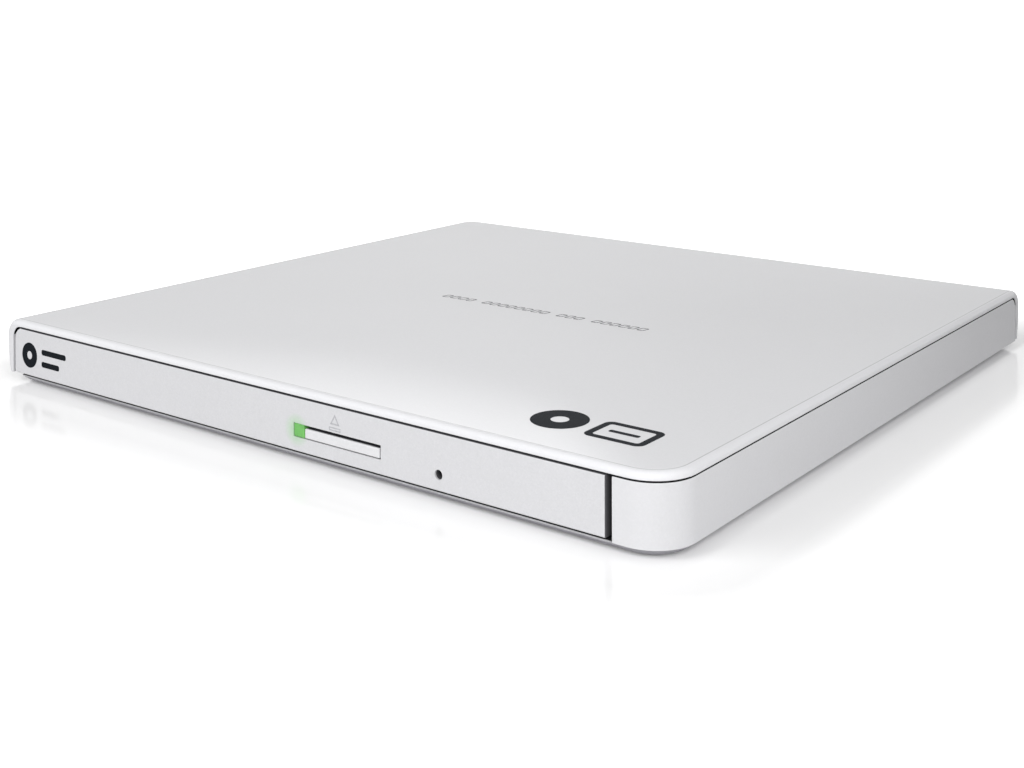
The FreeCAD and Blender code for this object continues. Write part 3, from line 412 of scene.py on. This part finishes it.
USE = {
    "top_cover": "shell", "bottom_case": "case", "tray_bezel": "bezel", "eject_button": "button",
    "light_pipe": "lamp", "foot_front_left": "rubber", "foot_front_right": "rubber",
    "foot_rear_left": "rubber", "foot_rear_right": "rubber", "case_screws": "screw",
    "chassis_base": "chassis", "chassis_cover": "chassis", "left_guide": "guide", "right_guide": "guide",
    "left_rail": "rail", "right_rail": "rail", "tray": "tray", "tray_pan": "pan", "tray_board": "board",
    "tray_connector": "connector", "status_led": "resin", "button_switch": "black", "latch_pivot": "brass",
    "latch_lever": "lever", "latch_solenoid": "coil", "solenoid_plunger": "chrome",
    "emergency_slider": "white", "deck_plate": "deck", "traverse_cover": "trim", "deck_dampers": "damper",
    "spindle_base": "stator", "spindle_rotor": "turned", "turntable_mat": "mat", "hub_claw_1": "claw",
    "hub_claw_2": "claw", "hub_claw_3": "claw", "pickup_body": "zinc", "lens_holder": "holder",
    "objective_lens": "lens", "guide_rod_main": "chrome", "guide_rod_sub": "chrome", "rod_clamps": "white",
    "lead_screw": "chrome", "sled_motor": "motor", "bridge_board": "board", "usb_shell": "usb",
    "usb_tongue": "black", "base_connector": "connector", "flex_cable": "film",
}
for node, obj in N.items():
    mat = M[USE[node]]
    if not obj.data.materials:
        obj.data.materials.append(mat)
    for s in obj.material_slots:
        s.link = "OBJECT"
        s.material = mat
    # merge split corners, then smooth everything but the real creases
    w = obj.modifiers.new("weld", "WELD")
    w.merge_threshold = 1e-6
    for p in obj.data.polygons:
        p.use_smooth = True
    es = obj.modifiers.new("crease", "EDGE_SPLIT")
    es.split_angle = math.radians(28)
    # flat faces stay flat next to their rounded rims
    wn_ = obj.modifiers.new("flats", "WEIGHTED_NORMAL")
    wn_.mode = "FACE_AREA"
    wn_.weight = 100
    wn_.keep_sharp = True


# ---------------------------------------------------------------- geometry helpers
def new_obj(name, bm, mat, body, smooth=True):
    me = bpy.data.meshes.new(name)
    bmesh.ops.recalc_face_normals(bm, faces=bm.faces)
    bm.to_mesh(me)
    bm.free()
    o = bpy.data.objects.new(name, me)
    sc.collection.objects.link(o)
    me.materials.append(M[mat] if isinstance(mat, str) else mat)
    for p in me.polygons:
        p.use_smooth = smooth
    if smooth:
        es = o.modifiers.new("crease", "EDGE_SPLIT")
        es.split_angle = math.radians(30)
    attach(o, body)
    return o


def outline_rect(x0, y0, x1, y1, r, n=6):
    pts = []
    for cx, cy, a in ((x1 - r, y1 - r, 0), (x0 + r, y1 - r, 90), (x0 + r, y0 + r, 180), (x1 - r, y0 + r, 270)):
        for k in range(n + 1):
            t = math.radians(a + 90 * k / n)
            pts.append((cx + r * math.cos(t), cy + r * math.sin(t)))
    return pts


def outline_circle(cx, cy, r, n=64):
    return [(cx + r * math.cos(2 * math.pi * k / n), cy + r * math.sin(2 * math.pi * k / n)) for k in range(n)]


def slab(bm, pts, low, high, place, hole=None):
    """Closed plate between two heights with outline pts (and an optional hole of equal point count)."""
    def ring(ps, h):
        return [bm.verts.new(place(x, y, h)) for x, y in ps]
    a, b = ring(pts, low), ring(pts, high)
    n = len(pts)
    for i in range(n):
        j = (i + 1) % n
        bm.faces.new((a[i], a[j], b[j], b[i]))
    if hole is None:
        bm.faces.new(list(reversed(a)))
        bm.faces.new(b)
        return
    c, d = ring(hole, low), ring(hole, high)
    for i in range(n):
        j = (i + 1) % n
        bm.faces.new((c[j], c[i], d[i], d[j]))
        bm.faces.new((b[i], b[j], d[j], d[i]))
        bm.faces.new((a[j], a[i], c[i], c[j]))


FRONT = -68.75
TOP = 11.3


def on_front(x, y, h):
    return Vector((x * MM, (FRONT - h) * MM, y * MM))


def on_top(x, y, h):
    return Vector((x * MM, y * MM, (TOP + h) * MM))


# ---------------------------------------------------------------- printed generic marks
INK = 0.015
# top: a plain disc ring and a drive outline with a slot line
bm = bmesh.new()
slab(bm, outline_circle(46.8, -57.0, 4.3), -0.02, INK, on_top, outline_circle(46.8, -57.0, 1.35))
slab(bm, outline_rect(52.8, -60.6, 62.6, -53.3, 1.3), -0.02, INK, on_top,
     outline_rect(53.9, -59.5, 61.5, -54.4, 0.5))
slab(bm, outline_rect(55.2, -57.4, 60.2, -56.5, 0.3), -0.02, INK, on_top)
new_obj("mark_top_disc", bm, "ink_dark", "enclosure", smooth=False)
# top: a row of small slanted outlines in four groups
def lean(pts, k=0.22, y0=-6.45):
    return [(px + (py - y0) * k, py) for px, py in pts]


bm = bmesh.new()
x = -18.0
for units in (4, 8, 3, 6):
    for u in range(units):
        slab(bm, lean(outline_rect(x, -6.45, x + 1.45, -4.55, 0.35)), -0.02, INK * 0.8, on_top,
             lean(outline_rect(x + 0.24, -6.21, x + 1.21, -4.79, 0.14)))
        x += 1.98
    x += 2.0
new_obj("mark_top_dashes", bm, "ink_grey", "enclosure", smooth=False)
# front: small disc ring with two bars
bm = bmesh.new()
slab(bm, outline_circle(-64.6, 5.4, 2.3, 48), -0.02, INK, on_front, outline_circle(-64.6, 5.4, 0.75, 48))
slab(bm, outline_rect(-60.9, 6.0, -53.6, 7.0, 0.4), -0.02, INK, on_front)
slab(bm, outline_rect(-60.9, 3.8, -55.6, 4.8, 0.4), -0.02, INK, on_front)
new_obj("mark_front_disc", bm, "ink_dark", "drawer", smooth=False)
# front: eject sign over the key
bm = bmesh.new()
slab(bm, [(12.55, 7.15), (14.55, 7.15), (13.55, 8.75)], -0.02, INK, on_front,
     [(12.95, 7.38), (14.15, 7.38), (13.55, 8.33)])
slab(bm, [(12.35, 6.22), (14.75, 6.22), (14.75, 6.78), (12.35, 6.78)], -0.02, INK, on_front,
     [(12.52, 6.39), (14.58, 6.39), (14.58, 6.61), (12.52, 6.61)])
new_obj("mark_eject", bm, "ink_pale", "drawer", smooth=False)

# underside: a blank label in its shallow field, with plain bars and two empty boxes


def on_base(x, y, h):
    return Vector((x * MM, y * MM, (0.42 - h) * MM))


bm = bmesh.new()
slab(bm, outline_rect(-32.6, -28.6, 32.6, 24.6, 1.6), -0.02, 0.06, on_base)
new_obj("label_plate", bm, "label", "enclosure", smooth=False)
bm = bmesh.new()
for k, (a, w) in enumerate(((-28.0, 34.0), (-28.0, 42.0), (-28.0, 26.0), (-28.0, 38.0))):
    slab(bm, outline_rect(a, 16.4 - 3.2 * k, a + w, 17.6 - 3.2 * k, 0.4), 0.05, 0.072, on_base)
for a in (-28.0, -14.0):
    slab(bm, outline_rect(a, -24.0, a + 11.0, -13.0, 0.8), 0.05, 0.072, on_base,
         outline_rect(a + 0.5, -23.5, a + 10.5, -13.5, 0.4))
xx = 4.0
for w in (0.5, 1.0, 0.5, 0.5, 1.5, 0.5, 1.0, 1.0, 0.5, 1.5, 0.5, 1.0, 0.5, 0.5, 1.5, 0.5):
    slab(bm, outline_rect(xx, -24.0, xx + w, -16.0, 0.05), 0.05, 0.072, on_base)
    xx += w + 0.75
new_obj("label_bars", bm, "ink_grey", "enclosure", smooth=False)

# ---------------------------------------------------------------- floor, light, camera
bm = bmesh.new()
bmesh.ops.create_grid(bm, x_segments=1, y_segments=1, size=6.0)
me = bpy.data.meshes.new("floor")
bm.to_mesh(me)
bm.free()
floor = bpy.data.objects.new("floor", me)
floor.location = (0, 0, -0.0001)
sc.collection.objects.link(floor)
# glossy white table; light thrown back on the object is kept lower than what the camera sees
fm = Mat("floor_white")
g = fm.noise(3, 2)
path = fm.n("ShaderNodeLightPath")
seen = path.outputs["Is Camera Ray"]
fm.set(Base_Color=fm.mix(seen, (0.70, 0.70, 0.70), fm.mix(fm.remap(g, 0, 1), (0.905, 0.905, 0.905),
                                                         (0.915, 0.915, 0.915))),
       Roughness=0.6, Specular_IOR_Level=0.0, Coat_Weight=fm.math("MULTIPLY", seen, 0.75), Coat_Roughness=0.12,
       Coat_IOR=1.5)
# light table: its emission, seen by the camera only, is turned down next to the object as a painted contact
# shadow and is full away from it
fm.b.inputs["Emission Color"].default_value = (1, 1, 1, 1)
ax = fm.math("MAXIMUM", fm.math("SUBTRACT", fm.math("ABSOLUTE", fm.coord(0)), 0.068), 0.0)
ay = fm.math("MAXIMUM", fm.math("SUBTRACT", fm.math("ABSOLUTE", fm.coord(1)), 0.064), 0.0)
away = fm.math("SQRT", fm.math("ADD", fm.math("MULTIPLY", ax, ax), fm.math("MULTIPLY", ay, ay)))
table_glow_with_painted_shadow = fm.math("ADD", fm.math("ADD", fm.remap(away, 0.0, 0.50, 0.013, 0.036),
                              fm.remap(away, 0.0, 3.5, 0.024, 0.60)), 0.09)
# painted light: the floor beside the right side is painted brighter toward the back, where the shade along that
# side falls darker
table_glow_with_painted_shadow = fm.math("ADD", table_glow_with_painted_shadow, fm.math("MULTIPLY", fm.above(fm.coord(0), 0.0725, 0.0005),
                                    fm.remap(fm.coord(1), 0.0, 0.20, -0.05, 0.05)))
# light that comes up through the table right under the object, for views from below
under = fm.both(fm.below(fm.math("ABSOLUTE", fm.coord(0)), 0.068, 0.001),
                fm.below(fm.math("ABSOLUTE", fm.coord(1)), 0.0645, 0.001), path.outputs["Is Diffuse Ray"])
fm.link(fm.math("ADD", fm.math("MULTIPLY", seen, table_glow_with_painted_shadow), fm.math("MULTIPLY", under, 0.75)),
        fm.b.inputs["Emission Strength"])
fm.m.cycles.emission_sampling = "NONE"
# clear from below
back_side = fm.n("ShaderNodeNewGeometry").outputs["Backfacing"]
clear = fm.n("ShaderNodeBsdfTransparent")
both_sides = fm.n("ShaderNodeMixShader")
fm.link(back_side, both_sides.inputs[0])
fm.link(fm.b.outputs[0], both_sides.inputs[1])
fm.link(clear.outputs[0], both_sides.inputs[2])
fm.link(both_sides.outputs[0], fm.out.inputs[0])
me.materials.append(fm.m)

# studio surround: plain white behind the object, softer light from the sides, and a
# bright strip low behind the left that the glossy top mirrors along its front edge
world = bpy.data.worlds.new("studio")
sc.world = world
world.use_nodes = True
wt = world.node_tree
wt.nodes.clear()


def wn(kind, *vals, **props):
    node = wt.nodes.new(kind)
    for k, v in props.items():
        setattr(node, k, v)
    for i, v in enumerate(vals):
        if isinstance(v, bpy.types.NodeSocket):
            wt.links.new(v, node.inputs[i])
        elif v is not None:
            node.inputs[i].default_value = v
    return node


def wm(op, a, b=None):
    return wn("ShaderNodeMath", a, b, operation=op).outputs[0]


def ramp(v, a, b, lo=0.0, hi=1.0, smooth=True):
    node = wn("ShaderNodeMapRange", v, a, b, lo, hi)
    node.interpolation_type = "SMOOTHSTEP" if smooth else "LINEAR"
    return node.outputs[0]


way = wn("ShaderNodeTexCoord").outputs["Generated"]
sp = wn("ShaderNodeSeparateXYZ", way)
wx, wy, wz = sp.outputs
elev = wm("MULTIPLY", wm("ARCSINE", wz), 57.2958)
azim = wm("MULTIPLY", wm("ARCTAN2", wm("MULTIPLY", wx, -1.0), wy), 57.2958)   # 0 back, 90 left
# what glossy surfaces mirror: the way back through the flat top, as millimetres on it
PX = wm("ADD", wm("MULTIPLY", wm("DIVIDE", wx, wm("MAXIMUM", wz, 0.02)), 62.35), 163.5)
PY = wm("ADD", wm("MULTIPLY", wm("DIVIDE", wy, wm("MAXIMUM", wz, 0.02)), 62.35), -221.2)
start = wm("SUBTRACT", -46.0, wm("MULTIPLY", wm("MAXIMUM", wm("MULTIPLY", PX, -1.0), 0.0), 0.36))
deep = wn("ShaderNodeClamp", wm("DIVIDE", wm("SUBTRACT", start, PY), 20.0), 0.0, 1.25).outputs[0]
cutx = wm("SUBTRACT", 53.0, wm("MULTIPLY", wm("ADD", PY, 60.0), 1.2))
ended = ramp(wm("SUBTRACT", PX, cutx), 9.0, -9.0)
gain = ramp(PX, -5.0, 42.0, 1.05, 1.75)
zone = wm("MULTIPLY", wm("MULTIPLY", wm("MULTIPLY", deep, ended), wm("MULTIPLY", gain, ramp(PY, -112.0, -82.0))),
          ramp(elev, 40.0, 24.0))
across = ramp(wn("ShaderNodeClamp", PX, -100.0, 100.0).outputs[0], -80.0, 80.0, 0.97, 1.15, smooth=False)
mirror = wm("ADD", wm("MULTIPLY", wm("MULTIPLY", ramp(elev, 26.0, 50.0, 1.0, 0.7), across),
                      ramp(elev, 3.5, 8.0, 0.12, 1.0)), zone)
# what lights matt surfaces
SOFT = {"even": 0.0, "up": 0.12, "front": 0.30, "right": 1.30, "left": 0.0, "back": 0.0}
knob = {}
soft = None
for key, v in (("even", None), ("up", (wz, 1.0)), ("front", (wy, -1.0)), ("right", (wx, 1.0)),
               ("left", (wx, -1.0)), ("back", (wy, 1.0))):
    val = wn("ShaderNodeValue")
    val.outputs[0].default_value = SOFT[key]
    knob[key] = val.outputs[0]
    part = val.outputs[0] if v is None else wm("MULTIPLY", wm("MAXIMUM", wm("MULTIPLY", v[0], v[1]), 0.0),
                                               val.outputs[0])
    soft = part if soft is None else wm("ADD", soft, part)
lp = wn("ShaderNodeLightPath")
mixg = wn("ShaderNodeMix", data_type="FLOAT")
wt.links.new(lp.outputs["Is Glossy Ray"], mixg.inputs[0])
wt.links.new(soft, mixg.inputs[2])
wt.links.new(mirror, mixg.inputs[3])
mixc = wn("ShaderNodeMix", data_type="FLOAT")
wt.links.new(lp.outputs["Is Camera Ray"], mixc.inputs[0])
wt.links.new(mixg.outputs[0], mixc.inputs[2])
mixc.inputs[3].default_value = 1.02
bg = wn("ShaderNodeBackground", (1, 1, 1, 1), mixc.outputs[0])
wo = wn("ShaderNodeOutputWorld")
wt.links.new(bg.outputs[0], wo.inputs[0])


def area(name, loc, aim, sx, sy, power, col=(1, 1, 1), mirrored=False):
    d = bpy.data.lights.new(name, "AREA")
    d.shape = "RECTANGLE"
    d.size, d.size_y = sx, sy
    d.energy = power
    d.color = col
    o = bpy.data.objects.new(name, d)
    o.location = loc
    o.rotation_euler = (Vector(aim) - Vector(loc)).to_track_quat("-Z", "Y").to_euler()
    o.visible_glossy = mirrored
    o.visible_camera = False
    sc.collection.objects.link(o)
    return o


area("key", (0.36, -0.40, 0.30), (0, 0, 0), 0.3, 0.3, 0.26)
area("near_corner", (0.22, -0.22, 0.16), (0, 0, 0), 0.12, 0.12, 0.31)
area("fill_left", (-0.35, -0.65, 0.40), (0, 0, 0), 0.5, 0.5, 4.05)

# low light behind: reaches the back face and hardly the rest
area("low_back", (-0.04, 0.50, 0.05), (-0.02, 0.07, 0.006), 0.5, 0.08, 1.3)


def flag(name, a, b, high):
    """Dark upright card out of the picture that takes light off one side."""
    bm = bmesh.new()
    v = [bm.verts.new(p) for p in ((a[0], a[1], 0.001), (b[0], b[1], 0.001), (b[0], b[1], high),
                                   (a[0], a[1], high))]
    bm.faces.new(v)
    me = bpy.data.meshes.new(name)
    bm.to_mesh(me)
    bm.free()
    o = bpy.data.objects.new(name, me)
    sc.collection.objects.link(o)
    m = Mat(name)
    m.set(Base_Color=m.mix(m.noise(20), (0.01, 0.01, 0.01), (0.015, 0.015, 0.015)), Roughness=0.9,
          Specular_IOR_Level=0.0)
    me.materials.append(m.m)
    o.visible_camera = False
    o.visible_glossy = False
    return o


flag("flag_right", (0.080, 0.078), (0.25, 0.085), 0.22)

cam_data = bpy.data.cameras.new("camera")
cam = bpy.data.objects.new("camera", cam_data)
sc.collection.objects.link(cam)
yaw, roll = math.radians(37.30), -0.0029
rt = Vector((math.cos(yaw), math.sin(yaw), 0))
up = Vector((0, 0, 1))
bk = Vector((math.sin(yaw), -math.cos(yaw), 0))
base = Matrix((rt, up, bk)).transposed().to_4x4() @ Matrix.Rotation(roll, 4, "Z")
cam.matrix_world = Matrix.Translation(Vector((0.16351, -0.22121, 0.07365))) @ base
cam_data.sensor_width = 36.0
cam_data.lens = 1408.4 / 1024 * 36.0
cam_data.clip_start, cam_data.clip_end = 0.01, 50
# the picture is taken with a vertical lens shift; other viewpoints use none
drv = cam_data.driver_add("shift_y").driver
drv.type = "SCRIPTED"
var = drv.variables.new()
var.name = "z"
var.type = "SINGLE_PROP"
var.targets[0].id = cam
var.targets[0].data_path = "location[2]"
drv.expression = "-0.3913 if abs(z - 0.07365) < 0.00001 else 0.0"
sc.camera = cam
sc.view_settings.view_transform = "Standard"
sc.view_settings.look = "None"
